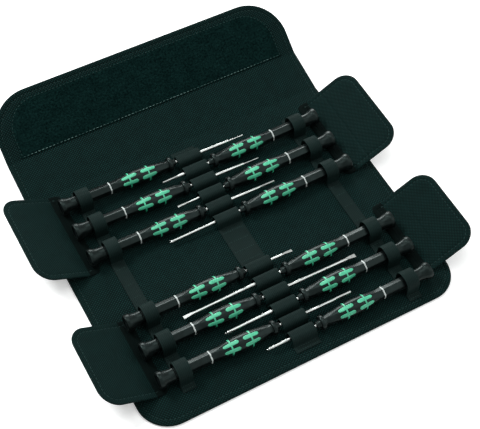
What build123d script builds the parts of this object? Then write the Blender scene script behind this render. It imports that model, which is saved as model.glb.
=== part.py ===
from build123d import *
import os
from math import atan2, cos, hypot, radians, sin, tan

# Folding pouch that holds twelve precision screwdrivers, opened out on a table.
# Millimetres. X runs along the drivers, Y from the free end of the lower half towards the
# closure flap, Z up. The origin is under the middle of the middle spine, on the table.

# ---- pouch boards (bound, stiffened fabric) ----
BOARD_T = 2.4
SIDE_EDGE = 16.5  # boards' edge beyond the side flaps' hinge axes
LAST_ROW_EDGE = 19.1  # from each half's last row to its far end
SPINE_L = 32.0  # between the two middle folds
TOP_SPINE_L = 36.2  # between the two folds that wrap the free end
CLOSURE_L = 51.0
FOLD_GAP = 0.3  # between two boards along a fold
FOLD_RISE = 1.4  # fold axis above the boards' upper faces
TOP_RAISE = 12.0  # degrees that the top spine stands up when open
CLOSURE_RAISE = 24.0  # further degrees of the closure flap
BODY_CORNER_R = 24.0
CLOSURE_CORNER_R = 34.0

# ---- hook and loop closure ----
LOOP_EDGE = 12.5  # in from each side of the closure flap
LOOP_L = 43.0
LOOP_T = 0.9
LOOP_INSET = 0.6  # from the fold's edge of the closure flap
LOOP_CORNER_R = 26.0
HOOK_EDGE = 18.5  # in from each side of the lower half
HOOK_L = 38.0
HOOK_T = 0.8
HOOK_INSET = 7.0  # from the lower half's free end

# ---- side flaps, each an end wall and a tuck ----
SIDE_W = {"upper_left": 78.0, "upper_right": 78.0, "lower_left": 66.0, "lower_right": 70.0}
SIDE_T = 1.4
WALL_L = 14.7  # hinge axis to the crease, as tall as the caps and straps need
TUCK_L = 29.3
SIDE_RAISE = 30.0  # degrees above the boards when open
SIDE_CORNER_R = 14.0
SIDE_AXIS_RISE = 1.0  # hinge axis above the boards
SIDE_CAP_GAP = 3.6  # hinge axis beyond the rear of the caps
SIDE_FROM_FOLD = {"upper_left": 50.0, "upper_right": 40.5, "lower_left": 34.0, "lower_right": 36.0}

# ---- driver rows ----
FIRST_ROW_GAP = 0.4  # first handle loop's leg from the fold
ROW_PITCH = 12.7
ROWS_PER_HALF = 6
NOSE_X = 11.4  # front of each handle from the middle line
TILT = 1.5  # degrees, blade end down
BOARD_CLEAR = 0.3  # flange above the board
BLADE_REACH = [60, 40, 60, 40, 60, 60, 40, 80, 80, 60, 60, 40]
BLADE_D = [2.4, 2.4, 2.4, 1.5, 2.4, 2.0, 2.0, 2.6, 2.6, 2.6, 2.4, 2.0]
TIP_KIND = ["star", "hex", "star", "slot", "hex", "cross", "slot", "slot", "blade", "cross", "hex", "cross"]
TIP_D = [1.4, 1.5, 1.3, 1.5, 1.6, 2.0, 2.0, 2.6, 3.0, 2.6, 2.0, 2.0]
TIP_L = 13.0  # ground down length of a blade
TANG_L = 26.0  # blade inside the handle
TANG_CLEAR = 0.02

# ---- handle, measured from its nose towards the cap ----
HANDLE_L = 97.0  # nose to the rear of the cap
FERRULE_L = 3.4
FERRULE_R = (2.3, 3.0)
FLANGE_L = 3.2
FLANGE_R = 5.6
FLANGE_EDGE = 0.5
NECK_R = 4.3
NECK_END = 13.0
BULGE_AT = 32.0
BULGE_R = 6.2
WAIST_AT = 52.0
WAIST_R = 4.1
SHAFT_HEX = 8.3  # across the flats of the quick-turn shaft
COLLAR_L = 2.0
COLLAR_R = 4.7

# ---- rotating cap ----
CAP_L = 12.5
CAP_NECK_R = 5.0
CAP_R = 6.6
CAP_RIM = 3.0  # straight rim at the rear
CAP_DISH_R = 4.6
CAP_DISH = 0.8
CAP_GAP = 0.3  # between cap and collar
PIN_R = 2.0
PIN_HEAD_R = 2.6
PIN_HEAD_L = 2.0
PIN_CLEAR = 0.05
PIN_END = 5.0  # pin's end from the rear of the cap

# ---- elastic straps ----
STRAP_T = 1.0
HANDLE_STRAP_W = 10.4
HANDLE_STRAP_GAP = 0.9  # beside the caps
BLADE_STRAP_W = 20.0
LOOP_CLEAR = 0.5  # round a driver's widest part as it slides
LEG_LEAN = 0.3  # how far a loop's leg leans outward
BLADE_LOOP_GAP = 2.6  # between two blades' loops, along the rows
BLADE_LOOP_CROWN = 0.75  # loop's width at its top, as a share of that inside its feet
STRAP_TAIL = 5.0  # flat end beyond the last loop
STRAP_EDGE_GAP = 0.3  # strap short of a fold

BOARD_TOP = BOARD_T
FOLD_Y = SPINE_L / 2
FIRST_ROW = FOLD_Y + BULGE_R + LOOP_CLEAR + STRAP_T + LEG_LEAN + FIRST_ROW_GAP
PANEL_L = FIRST_ROW - FOLD_Y + (ROWS_PER_HALF - 1) * ROW_PITCH + LAST_ROW_EDGE
TOP_FOLD_Y = FOLD_Y + PANEL_L
FREE_Y = -FOLD_Y - PANEL_L
FOLD_Z = BOARD_TOP + FOLD_RISE
SLOPE = (cos(radians(TILT)), sin(radians(TILT)))
FLANGE_AT = FERRULE_L + FLANGE_L / 2
LOWEST = max(FLANGE_R - FLANGE_AT * SLOPE[1], BULGE_R - BULGE_AT * SLOPE[1])
NOSE_Z = BOARD_TOP + BOARD_CLEAR + LOWEST  # flange or bulge, whichever comes lower
SIDE_X = NOSE_X + HANDLE_L + SIDE_CAP_GAP
BOARD_W = 2 * (SIDE_X + SIDE_EDGE)
LOOP_W = BOARD_W - 2 * LOOP_EDGE
HOOK_W = BOARD_W - 2 * HOOK_EDGE
CAP_AT = HANDLE_L - CAP_L
HANDLE_STRAP_X = NOSE_X + CAP_AT - HANDLE_STRAP_GAP - HANDLE_STRAP_W / 2
BLADE_LOOP_HALF = (ROW_PITCH - BLADE_LOOP_GAP) / 2


def save(node, *solids):
    shape = solids[0] if len(solids) == 1 else Compound(children=list(solids))
    export_step(shape, f"parts/{node}.step")


def row_y(row):
    """Y of a driver's axis; rows count down from the closure flap."""
    if row < ROWS_PER_HALF:
        return FIRST_ROW + (ROWS_PER_HALF - 1 - row) * ROW_PITCH
    return -FIRST_ROW - (row - ROWS_PER_HALF) * ROW_PITCH


def row_side(row):
    """-1 where the cap is at the left, 1 where it is at the right."""
    return -1 if row % 2 == 0 else 1


def axis_z(distance):
    """Height of a driver's axis at a distance from its nose."""
    return NOSE_Z + distance * SLOPE[1] / SLOPE[0]


# ---- boards ----


def board(y_low, y_high, thickness, width, z_low, corners=0.0, at_high=True):
    """Flat board between two Y values, with two rounded corners at one end."""
    middle = (y_low + y_high) / 2
    length = y_high - y_low
    solid = Pos(0, middle, z_low) * Box(
        width, length, thickness, align=(Align.CENTER, Align.CENTER, Align.MIN)
    )
    if corners:
        upright = solid.edges().filter_by(Axis.Z).sort_by(Axis.Y)
        solid = fillet(upright[-2:] if at_high else upright[:2], corners)
    return solid


def about_x(solid, angle, y, z):
    """Turn a solid about an axis along X through (y, z)."""
    return solid.rotate(Axis((0, y, z), (1, 0, 0)), angle)


def upper_panel():
    half = FOLD_GAP / 2
    return board(FOLD_Y + half, TOP_FOLD_Y - half, BOARD_T, BOARD_W, 0)


def middle_spine():
    half = FOLD_GAP / 2
    return board(-FOLD_Y + half, FOLD_Y - half, BOARD_T, BOARD_W, 0)


def hook_y():
    return FREE_Y + HOOK_INSET, FREE_Y + HOOK_INSET + HOOK_L


def lower_panel():
    """Board with a shallow pocket underneath for the hook strip."""
    panel = board(FREE_Y, -FOLD_Y - FOLD_GAP / 2, BOARD_T, BOARD_W, 0, BODY_CORNER_R, at_high=False)
    return panel - board(*hook_y(), HOOK_T, HOOK_W, 0)


def hook_strip():
    return board(*hook_y(), HOOK_T, HOOK_W, 0)


def raise_top(solid):
    return about_x(solid, TOP_RAISE, TOP_FOLD_Y, FOLD_Z)


def raise_closure(solid):
    flat_fold = TOP_FOLD_Y + TOP_SPINE_L
    return raise_top(about_x(solid, CLOSURE_RAISE, flat_fold, FOLD_Z))


def top_spine():
    half = FOLD_GAP / 2
    low = TOP_FOLD_Y + half
    high = TOP_FOLD_Y + TOP_SPINE_L - half
    return raise_top(board(low, high, BOARD_T, BOARD_W, 0))


def closure_flap():
    low = TOP_FOLD_Y + TOP_SPINE_L + FOLD_GAP / 2
    flat = board(low, low + CLOSURE_L, BOARD_T, BOARD_W, 0, CLOSURE_CORNER_R)
    return raise_closure(flat)


def loop_strip():
    low = TOP_FOLD_Y + TOP_SPINE_L + FOLD_GAP / 2 + LOOP_INSET
    flat = board(low, low + LOOP_L, LOOP_T, LOOP_W, BOARD_TOP, LOOP_CORNER_R)
    return raise_closure(flat)


# ---- side flaps ----


def side_flap(corner):
    """End wall and tuck of one side flap, raised as it stands when the pouch is open."""
    side = -1 if corner.endswith("left") else 1
    y = SIDE_FROM_FOLD[corner] + FOLD_Y
    if corner.startswith("lower"):
        y = -y
    gap = FOLD_GAP / 2

    def leaf(start, length):
        size = (length, SIDE_W[corner], SIDE_T)
        return Pos(start, 0, 0) * Box(*size, align=(Align.MIN, Align.CENTER, Align.CENTER))

    wall = leaf(gap, WALL_L - 2 * gap)
    tuck = leaf(WALL_L + gap, TUCK_L - gap)
    outer = tuck.edges().filter_by(Axis.Z).sort_by(Axis.X)[-2:]
    tuck = fillet(outer, SIDE_CORNER_R)
    tilt = radians(SIDE_RAISE)
    plane = Plane(
        origin=(side * SIDE_X, y, BOARD_TOP + SIDE_AXIS_RISE),
        x_dir=(side * cos(tilt), 0, sin(tilt)),
        z_dir=(-side * sin(tilt), 0, cos(tilt)),
    )
    return plane.location * wall, plane.location * tuck


# ---- straps ----


def ribbon(points, radii, x, width):
    """Strap of even thickness along a filleted path in Y and Z, centred on x."""
    path = FilletPolyline(*points, radius=radii)
    face = trace(path, STRAP_T)
    return Plane(origin=(x - width / 2, 0, 0), x_dir=(0, 1, 0), z_dir=(1, 0, 0)).location * extrude(
        face, amount=width
    )


def handle_loop(y, distance):
    """Corner points of one loop over a handle, from high Y to low Y, and their radii."""
    half = BULGE_R + LOOP_CLEAR + STRAP_T / 2
    top = axis_z(distance) + half
    foot = BOARD_TOP + STRAP_T / 2
    points = [(y + half + LEG_LEAN, foot), (y + half, top), (y - half, top), (y - half - LEG_LEAN, foot)]
    return points, [STRAP_T, half * 0.9, half * 0.9, STRAP_T]


def blade_loop(y, distance):
    """The same for one loop over a blade; the loop narrows to its top."""
    foot = BOARD_TOP + STRAP_T / 2
    top = axis_z(distance) + max(BLADE_D) / 2 + LOOP_CLEAR + STRAP_T / 2
    crown = BLADE_LOOP_HALF * BLADE_LOOP_CROWN
    half = BLADE_LOOP_HALF + STRAP_T / 2
    lean = atan2(top - foot, half - crown)
    bend = min(STRAP_T, 0.49 * (BLADE_LOOP_GAP - STRAP_T) / tan(lean / 2))  # two bends fit between loops
    points = [(y + half, foot), (y + crown, top), (y - crown, top), (y - half, foot)]
    return points, [bend, crown * 0.8, crown * 0.8, bend]


def strap(rows, loop, distance, x, width, half):
    """Strap of one half of the pouch, sewn flat between its loops and running to the fold."""
    foot = BOARD_TOP + STRAP_T / 2
    ys = sorted((row_y(row) for row in rows), key=abs, reverse=True)
    sign = 1 if ys[0] > 0 else -1
    fold = sign * (FOLD_Y + STRAP_EDGE_GAP)
    points = [(ys[0] + sign * (half + STRAP_TAIL), foot)]
    radii = []
    for y in ys:
        corners, bends = loop(y, distance)
        points += corners if sign > 0 else corners[::-1]
        radii += bends
    if abs(points[-1][0]) - abs(fold) > STRAP_TAIL / 2:
        points.append((fold, foot))
    else:
        points[-1] = (points[-2][0], BOARD_TOP)
        radii = radii[:-1]
    return ribbon(points, radii, x, width)


def handle_strap(upper, side):
    rows = [r for r in half_rows(upper) if row_side(r) == side]
    half = BULGE_R + LOOP_CLEAR + STRAP_T + LEG_LEAN
    distance = HANDLE_STRAP_X - NOSE_X
    return strap(rows, handle_loop, distance, side * HANDLE_STRAP_X, HANDLE_STRAP_W, half)


def blade_strap(upper):
    half = BLADE_LOOP_HALF + STRAP_T
    return strap(half_rows(upper), blade_loop, -NOSE_X, 0, BLADE_STRAP_W, half)


def half_rows(upper):
    return range(ROWS_PER_HALF) if upper else range(ROWS_PER_HALF, 2 * ROWS_PER_HALF)


def spine_straps():
    """The flat runs of the three straps across the middle spine."""
    reach = FOLD_Y - STRAP_EDGE_GAP
    runs = []
    for x, width in (
        (-HANDLE_STRAP_X, HANDLE_STRAP_W),
        (0, BLADE_STRAP_W),
        (HANDLE_STRAP_X, HANDLE_STRAP_W),
    ):
        runs.append(Pos(x, 0, 0) * board(-reach, reach, STRAP_T, width, BOARD_TOP))
    return runs


# ---- drivers, modelled along +X from the nose at 0, cap towards +X ----


def driver_place(row):
    side = row_side(row)
    return Plane(
        origin=(side * NOSE_X, row_y(row), NOSE_Z),
        x_dir=(side * SLOPE[0], 0, SLOPE[1]),
        z_dir=(-side * SLOPE[1], 0, SLOPE[0]),
    ).location


def turned(*lines):
    """Solid of revolution about X from an open outline that starts and ends on the axis."""
    outline = Wire([edge for line in lines for edge in line.edges()])
    return revolve(make_face(outline), Axis.X)


def bulge_arc(a, b, sag):
    """Arc from a to b whose middle stands sag away from the chord, outward where positive."""
    middle = ((a[0] + b[0]) / 2, (a[1] + b[1]) / 2)
    length = hypot(b[0] - a[0], b[1] - a[1])
    normal = (-(b[1] - a[1]) / length, (b[0] - a[0]) / length)
    return ThreePointArc(a, (middle[0] + normal[0] * sag, middle[1] + normal[1] * sag), b)


def handle(row):
    """Ferrule, flange, neck, bulged grip, hexagonal quick-turn shaft, collar and cap pin."""
    flange = (FERRULE_L, FERRULE_L + FLANGE_L)
    collar = (CAP_AT - CAP_GAP - COLLAR_L, CAP_AT - CAP_GAP)
    pin_end = HANDLE_L - PIN_END
    body = turned(
        Polyline(
            (0, 0),
            (0, FERRULE_R[0]),
            (FERRULE_L, FERRULE_R[1]),
            (flange[0], FLANGE_R - FLANGE_EDGE),
            (flange[0] + FLANGE_EDGE, FLANGE_R),
            (flange[1] - FLANGE_EDGE, FLANGE_R),
            (flange[1], FLANGE_R - FLANGE_EDGE),
            (flange[1], NECK_R),
            (NECK_END, NECK_R),
        ),
        bulge_arc((NECK_END, NECK_R), (BULGE_AT, BULGE_R), 0.5),
        bulge_arc((BULGE_AT, BULGE_R), (WAIST_AT, WAIST_R), 0.4),
        Polyline(
            (WAIST_AT, WAIST_R),
            (collar[0], WAIST_R),
            (collar[0], COLLAR_R),
            (collar[1], COLLAR_R),
            (collar[1], PIN_R),
            (pin_end - PIN_HEAD_L, PIN_R),
            (pin_end - PIN_HEAD_L, PIN_HEAD_R),
            (pin_end, PIN_HEAD_R),
            (pin_end, 0),
            (0, 0),
        ),
    )
    face = Plane.YZ * RegularPolygon(SHAFT_HEX / 2, 6, major_radius=False)
    shaft = Pos(WAIST_AT, 0, 0) * extrude(face, amount=collar[0] - WAIST_AT)
    bore = along_x(BLADE_D[row] / 2 + TANG_CLEAR, 0, TANG_L)
    return body + shaft - bore


def cap():
    """Rotating cap with a waisted side, a dished rear and a snap cavity for the pin's head."""
    rim = HANDLE_L - CAP_RIM
    pin_end = HANDLE_L - PIN_END
    cavity_r = PIN_HEAD_R + PIN_CLEAR
    head = (pin_end - PIN_HEAD_L - PIN_CLEAR, pin_end + PIN_CLEAR)
    return turned(
        Polyline((head[0], PIN_R + PIN_CLEAR), (CAP_AT, PIN_R + PIN_CLEAR), (CAP_AT, CAP_NECK_R)),
        bulge_arc((CAP_AT, CAP_NECK_R), (rim, CAP_R), -0.5),
        Polyline((rim, CAP_R), (HANDLE_L - FLANGE_EDGE, CAP_R), (HANDLE_L, CAP_R - FLANGE_EDGE)),
        Polyline(
            (HANDLE_L, CAP_R - FLANGE_EDGE),
            (HANDLE_L, CAP_DISH_R),
            (HANDLE_L - CAP_DISH, CAP_DISH_R - CAP_DISH),
            (HANDLE_L - CAP_DISH, 0),
            (head[1], 0),
            (head[1], cavity_r),
            (head[0], cavity_r),
            (head[0], PIN_R + PIN_CLEAR),
        ),
    )


def along_x(radius, start, end):
    length = end - start
    return Pos(start + length / 2, 0, 0) * Rot(0, 90, 0) * Cylinder(radius, length)


def tip_section(kind, across):
    """Cross-section of a driving tip."""
    if kind == "hex":
        return RegularPolygon(across / 2, 6, major_radius=False)
    if kind == "star":
        lobes = Sketch() + [Rot(0, 0, 60 * k) * Rectangle(across / 2, across / 4) for k in range(3)]
        return lobes + Circle(across / 3)
    return Circle(across / 2)


def blade(row):
    """Round steel blade with its tang, stepped down and ground to its driving tip."""
    reach = BLADE_REACH[row]
    kind = TIP_KIND[row]
    across = TIP_D[row]
    radius = BLADE_D[row] / 2
    step = -reach + TIP_L
    bar = along_x(radius, step, TANG_L)
    section = Plane(origin=(step, 0, 0), x_dir=(0, 1, 0), z_dir=(-1, 0, 0)) * tip_section(kind, across)
    tip = extrude(section, amount=TIP_L)
    if kind in ("slot", "blade"):
        flat_l = TIP_L * 0.7
        start = -reach + flat_l
        web = across / 8
        for side in (-1, 1):
            wedge = Polyline((start, side * across), (start, side * across / 2), (-reach, side * web))
            wedge += Line((-reach, side * web), (-reach, side * across))
            wedge += Line((-reach, side * across), (start, side * across))
            cut = extrude(Plane.XZ * make_face(wedge), amount=across, both=True)
            tip -= cut
    if kind == "cross":
        stand = (Align.CENTER, Align.CENTER, Align.MIN)
        point = Cone(across / 2, across / 8, across, align=stand)
        tip = along_x(across / 2, -reach + across, step)
        tip += Pos(-reach + across, 0, 0) * Rot(0, -90, 0) * point
        for k in range(4):
            groove = Pos(-reach, 0, 0) * Rot(45 + 90 * k, 0, 0) * Pos(across, across * 0.42, 0)
            tip -= groove * Box(2 * across, across / 2, across / 2)
    return bar + tip


def main():
    os.makedirs("parts", exist_ok=True)
    save("upper_panel", upper_panel())
    save("middle_spine", middle_spine())
    save("lower_panel", lower_panel())
    save("hook_strip", hook_strip())
    save("top_spine", top_spine())
    save("closure_flap", closure_flap())
    save("loop_strip", loop_strip())
    for corner in SIDE_FROM_FOLD:
        wall, tuck = side_flap(corner)
        save(f"side_wall_{corner}", wall)
        save(f"side_tuck_{corner}", tuck)
    for half, upper in (("upper", True), ("lower", False)):
        save(f"strap_{half}_left", handle_strap(upper, -1))
        save(f"strap_{half}_centre", blade_strap(upper))
        save(f"strap_{half}_right", handle_strap(upper, 1))
    save("strap_spine", *spine_straps())
    rear_cap = cap()
    for row in range(2 * ROWS_PER_HALF):
        place = driver_place(row)
        number = f"{row + 1:02d}"
        save(f"handle_{number}", place * handle(row))
        save(f"blade_{number}", place * blade(row))
        save(f"cap_{number}", place * rear_cap)


main()
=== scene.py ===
from math import atan2, ceil, cos, hypot, pi, radians, sin, tan

import bmesh
import bpy
from mathutils import Matrix, Vector, noise


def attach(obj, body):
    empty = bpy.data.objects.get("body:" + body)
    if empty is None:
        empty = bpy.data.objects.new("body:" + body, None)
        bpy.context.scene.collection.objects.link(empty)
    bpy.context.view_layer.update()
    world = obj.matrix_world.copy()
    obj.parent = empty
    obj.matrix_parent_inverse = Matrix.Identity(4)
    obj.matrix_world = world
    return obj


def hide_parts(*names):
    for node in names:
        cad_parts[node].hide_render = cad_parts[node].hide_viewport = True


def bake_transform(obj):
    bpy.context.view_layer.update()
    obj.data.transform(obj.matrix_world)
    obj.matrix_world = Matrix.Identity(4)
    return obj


bl_info = {
    "name": "Precision screwdriver pouch",
    "version": (1, 0, 0),
    "blender": (4, 5, 0),
    "location": "View3D > Sidebar > Driver pouch",
    "description": "A folding fabric pouch with twelve precision screwdrivers in elastic loops",
    "category": "Object",
}

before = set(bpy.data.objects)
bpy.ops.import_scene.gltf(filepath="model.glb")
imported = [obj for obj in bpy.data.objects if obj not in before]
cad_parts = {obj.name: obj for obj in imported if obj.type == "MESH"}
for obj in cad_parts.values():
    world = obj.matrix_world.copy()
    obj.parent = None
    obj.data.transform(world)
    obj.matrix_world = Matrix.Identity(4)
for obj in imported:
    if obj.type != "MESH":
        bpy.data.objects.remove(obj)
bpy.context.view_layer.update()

MM = 0.001
LEFT, RIGHT = -1, 1

# ---- pouch, laid out flat, in millimetres ----
BOARD_W = 257.0
BOARD_T = 2.4
FOLD_Y = 16.0
FREE_Y = -107.0
TOP_FOLD_Y = 107.0
CLOSURE_FOLD_Y = 143.2
TOP_Y = 194.2
FOLD_Z = 3.8
TOP_RAISE = radians(12)
CLOSURE_RAISE = radians(24)
FOLD_ZONE = 3.0
CORNER_STEPS = 14

# ---- side flaps ----
SIDE_X = 112.0
SIDE_Z = 3.4
SIDE_RAISE = radians(30)
SIDE_T = 1.4
WALL_L = 14.7
SIDE_L = 44.0
# middle and width of each flap along Y
SIDE_FLAPS = {
    "upper_left": (66.0, 78.0),
    "upper_right": (56.5, 78.0),
    "lower_left": (-50.0, 66.0),
    "lower_right": (-52.0, 70.0),
}

# ---- drivers ----
ROWS_PER_HALF = 6
FIRST_ROW = 24.4
ROW_PITCH = 12.7
NOSE_X = 11.4
NOSE_Z = 8.169
TILT = radians(1.5)

# ---- straps ----
STRAP_T = 1.0
HANDLE_STRAP_X = 89.8
HANDLE_STRAP_W = 10.4
BLADE_STRAP_W = 20.0


# ---- helpers ----


def linear(hex_colour):
    """An sRGB hex colour as the linear RGBA that a socket takes."""
    values = [int(hex_colour[i : i + 2], 16) / 255 for i in (0, 2, 4)]
    return tuple(v / 12.92 if v <= 0.04045 else ((v + 0.055) / 1.055) ** 2.4 for v in values) + (1.0,)


def smooth(t):
    t = min(max(t, 0.0), 1.0)
    return t * t * (3 - 2 * t)


def level(table, place):
    """Value at a place in a table of (place, value) pairs, straight between them."""
    for (a, va), (b, vb) in zip(table, table[1:]):
        if place <= b:
            return va + (vb - va) * (max(place, a) - a) / (b - a)
    return table[-1][1]


def everything(bm):
    return bm.verts[:] + bm.edges[:] + bm.faces[:]


def score(bm, axis, places):
    """Cuts a mesh across, without parting it, at each place along an axis (0 for X, 1 for Y)."""
    normal = Vector((1, 0, 0)) if axis == 0 else Vector((0, 1, 0))
    for place in places:
        bmesh.ops.bisect_plane(bm, geom=everything(bm), dist=1e-4, plane_co=normal * place, plane_no=normal)


def trim(bm, y, sign):
    """Cuts a mesh off at y, on the side that sign points to, and closes the cut."""
    bmesh.ops.bisect_plane(
        bm, geom=everything(bm), dist=1e-4, plane_co=(0, y, 0), plane_no=(0, sign, 0), clear_outer=True
    )
    made = bmesh.ops.holes_fill(bm, edges=[e for e in bm.edges if e.is_boundary], sides=0)
    for face in made["faces"]:
        for edge in face.edges:
            edge.smooth = False


def new_row(made):
    """The vertices that an extrusion or spin made, and the edges between them."""
    verts = [g for g in made if isinstance(g, bmesh.types.BMVert)]
    edges = [g for g in made if isinstance(g, bmesh.types.BMEdge)]
    return verts, [e for e in edges if all(v in verts for v in e.verts)]


def inset_rings(bm, face, places, even=True):
    """Insets a sheet's outline at each distance from its edge."""
    done = 0.0
    for place in places:
        bmesh.ops.inset_region(
            bm, faces=[face], thickness=place - done, use_even_offset=even, use_boundary=True
        )
        done = place


def steps(low, high, pitch):
    count = max(1, round((high - low) / pitch))
    return [low + (high - low) * i / count for i in range(1, count)]


def rounded_sheet(bm, width, low, high, r_low, r_high):
    """Flat face between two Y values, centred on X, with rounded corners."""
    made = bmesh.ops.create_grid(bm, x_segments=1, y_segments=1, size=0.5)
    bmesh.ops.scale(bm, vec=(width, high - low, 1), verts=made["verts"])
    bmesh.ops.translate(bm, vec=(0, (low + high) / 2, 0), verts=made["verts"])
    for edge_y, radius in ((low, r_low), (high, r_high)):
        if radius:
            corners = [v for v in bm.verts if abs(v.co.y - edge_y) < 1e-4]
            bmesh.ops.bevel(
                bm,
                geom=corners,
                offset=radius,
                offset_type="OFFSET",
                segments=CORNER_STEPS,
                profile=0.5,
                affect="VERTICES",
                material=-1,
            )
    return next(iter(bm.faces))


def inside(x, y, width, low, high, r_low, r_high):
    """How far a flat point lies inside the rounded outline."""
    middle = (low + high) / 2
    radius = r_high if y > middle else r_low
    qx = abs(x) - (width / 2 - radius)
    qy = abs(y - middle) - ((high - low) / 2 - radius)
    return radius - hypot(max(qx, 0), max(qy, 0)) - min(max(qx, qy), 0)


def at(v, z):
    """A vertex's place in the flat layout, at another height."""
    return Vector((v.co.x, v.co.y, z))


def write_uv(bm, place=lambda v: v.co.xy):
    """UV in metres of cloth, from a function of each vertex."""
    layer = bm.loops.layers.uv.new("UVMap")
    for face in bm.faces:
        for loop in face.loops:
            u, v = place(loop.vert)
            loop[layer].uv = (u * MM, v * MM)


def thicken(bm, lower, upper):
    """Gives an open sheet two skins: lower(v) and upper(v) are their places for a vertex."""
    faces = bm.faces[:]
    old = bm.verts[:]
    places = {v: (lower(v), upper(v)) for v in old}
    made = bmesh.ops.extrude_face_region(bm, geom=faces, use_keep_orig=True)
    fresh = [g for g in made["geom"] if isinstance(g, bmesh.types.BMVert)]
    tree = {tuple(round(c, 4) for c in v.co): v for v in old}
    for v in fresh:
        v.co = places[tree[tuple(round(c, 4) for c in v.co)]][1]
    for v in old:
        v.co = places[v][0]
    bmesh.ops.recalc_face_normals(bm, faces=bm.faces[:])


def join(bm, part):
    """Adds one mesh to another, and frees it."""
    mesh = bpy.data.meshes.new("part")
    part.to_mesh(mesh)
    part.free()
    bm.from_mesh(mesh)
    bpy.data.meshes.remove(mesh)


def bead(bm, place, heading, sizes, height=1.0, length=1.0, material=1):
    """One stitch: a small rounded bead lying along heading, its height and length as shares."""
    turn = Vector((1, 0, 0)).rotation_difference(heading).to_matrix().to_4x4()
    thick = sizes.thread_width
    shape = Matrix.Translation(place) @ turn @ Matrix.Diagonal(
        (sizes.stitch_length * length, thick, thick * height, 1)
    )
    made = bmesh.ops.create_uvsphere(bm, u_segments=6, v_segments=4, radius=0.5, matrix=shape)
    for face in {f for v in made["verts"] for f in v.link_faces}:
        face.material_index = material
        face.smooth = True


def walk(points, pitch, closed=True):
    """Places and headings every pitch along a line of points."""
    if closed:
        points = points + points[:1]
    found, left = [], pitch / 2
    for a, b in zip(points, points[1:]):
        span = (b - a).length
        while left < span:
            found.append((a.lerp(b, left / span), (b - a).normalized()))
            left += pitch
        left -= span
    return found


def border_line(width, low, high, r_low, r_high, inset):
    """The outline's corner points, moved in by inset."""
    bm = bmesh.new()
    face = rounded_sheet(bm, width, low, high, r_low, r_high)
    inset_rings(bm, face, (inset,))
    points = [v.co.copy() for v in face.verts]
    bm.free()
    return points


def stand_for(piece, slot, *nodes):
    """Replaces CAD nodes with a piece, by hiding the nodes."""
    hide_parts(*nodes)


def to_object(bm, name, materials, smooth_faces=True):
    """A finished mesh object from millimetres."""
    bmesh.ops.scale(bm, vec=(MM, MM, MM), verts=bm.verts)
    if smooth_faces:
        for face in bm.faces:
            face.smooth = True
    mesh = bpy.data.meshes.new(name)
    bm.to_mesh(mesh)
    bm.free()
    piece = bpy.data.objects.new(name, mesh)
    bpy.context.scene.collection.objects.link(piece)
    for material in materials:
        mesh.materials.append(bpy.data.materials[material])
    return piece


# ---- materials ----


def add(tree, kind, inputs=None, **settings):
    """One node with its settings, and its inputs as values or as sockets to link."""
    node = tree.nodes.new("ShaderNode" + kind)
    for name, value in settings.items():
        setattr(node, name, value)
    for name, value in (inputs or {}).items():
        if isinstance(value, bpy.types.NodeSocket):
            tree.links.new(value, node.inputs[name])
        else:
            node.inputs[name].default_value = value
    return node


def new_material(name, **shader):
    """A material and its node tree, with plain values set on the shader's own sockets."""
    material = bpy.data.materials.new(name)
    material.use_nodes = True
    tree = material.node_tree
    surface = tree.nodes["Principled BSDF"]
    for socket, value in shader.items():
        surface.inputs[socket.replace("_", " ")].default_value = value
    return tree, surface


def link(tree, out, surface, name):
    tree.links.new(out, surface.inputs[name])


WAVE_PERIOD = 2 * pi / 20  # of a Wave Texture at scale 1


def bands(tree, vector, period_mm, turn=0.0, distortion=0.0):
    """Even bands of light and dark with a period in millimetres, across X turned by an angle."""
    turned = add(tree, "Mapping", {"Vector": vector, "Rotation": (0, 0, turn)})
    wave = add(
        tree,
        "TexWave",
        {"Vector": turned.outputs[0], "Scale": WAVE_PERIOD / (period_mm * MM), "Distortion": distortion},
        wave_type="BANDS",
        bands_direction="X",
    )
    return wave.outputs["Fac"]


def math(tree, operation, a, b):
    return add(tree, "Math", {0: a, 1: b}, operation=operation).outputs[0]


def ramp(tree, fac, dark, light, low=0.0, high=1.0):
    node = add(tree, "ValToRGB", {"Fac": fac})
    node.color_ramp.elements[0].color = dark
    node.color_ramp.elements[0].position = low
    node.color_ramp.elements[1].color = light
    node.color_ramp.elements[1].position = high
    return node.outputs["Color"]


def tint(tree, surface, fac, dark, light, low=0.0, high=1.0):
    """Base colour from dark to light, two hex colours, as a pattern goes from low to high."""
    link(tree, ramp(tree, fac, linear(dark), linear(light), low, high), surface, "Base Color")


def polish(tree, surface, fac, low, high):
    """Roughness that follows a pattern."""
    link(tree, add(tree, "MapRange", {0: fac, 3: low, 4: high}).outputs[0], surface, "Roughness")


def speckle(tree, vector, size_mm, detail=2.0, roughness=0.5):
    """Cloudy noise whose patches are about size_mm across."""
    return add(
        tree,
        "TexNoise",
        {"Vector": vector, "Scale": 1 / (size_mm * MM), "Detail": detail, "Roughness": roughness},
    ).outputs["Fac"]


def bump(tree, surface, height, depth_mm, strength=1.0):
    made = add(tree, "Bump", {"Height": height, "Distance": depth_mm * MM, "Strength": strength})
    link(tree, made.outputs[0], surface, "Normal")


def uv(tree):
    return add(tree, "UVMap", uv_map="UVMap").outputs[0]


def own(tree):
    return add(tree, "TexCoord").outputs["Object"]


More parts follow.
